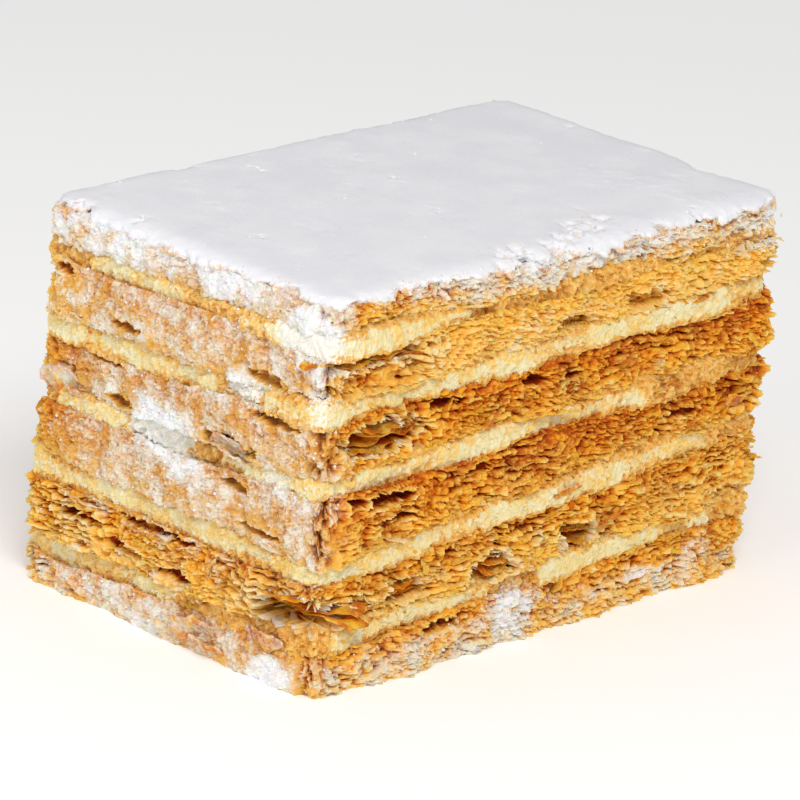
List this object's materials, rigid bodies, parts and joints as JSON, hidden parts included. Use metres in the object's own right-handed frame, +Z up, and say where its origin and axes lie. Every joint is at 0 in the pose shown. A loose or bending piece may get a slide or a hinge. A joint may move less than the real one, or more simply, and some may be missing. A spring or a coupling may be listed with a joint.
{
  "type": "mille feuille slice",
  "caption": "Rectangular cut slice of mille feuille: flaky puff pastry sheets stacked with pale cream, under a thick coat of icing sugar.",
  "frame": {"origin": "on the underside, at the middle of the slice's bounding box", "axes": "+X along the slice's long cut side, +Y across the slice from front to back, +Z up through the layers"},
  "size_m": [0.092, 0.063, 0.0564],
  "materials": {
    "pastry": "dry baked puff pastry, golden brown, flaky and crumbly, dusted with sugar",
    "cream": "set custard cream, pale yellow, soft sheen",
    "icing_sugar": "sifted icing sugar, white, powdery and matt"
  },
  "bodies": {
    "root": {"pastry_sheet_1": "pastry", "pastry_sheet_2": "pastry", "pastry_sheet_3": "pastry", "pastry_sheet_4": "pastry", "pastry_sheet_5": "pastry", "pastry_sheet_6": "pastry", "cream_layer_1": "cream", "cream_layer_2": "cream", "cream_layer_3": "cream", "cream_layer_4": "cream", "cream_layer_5": "cream", "icing_sugar": "icing_sugar"}
  },
  "joints": []
}
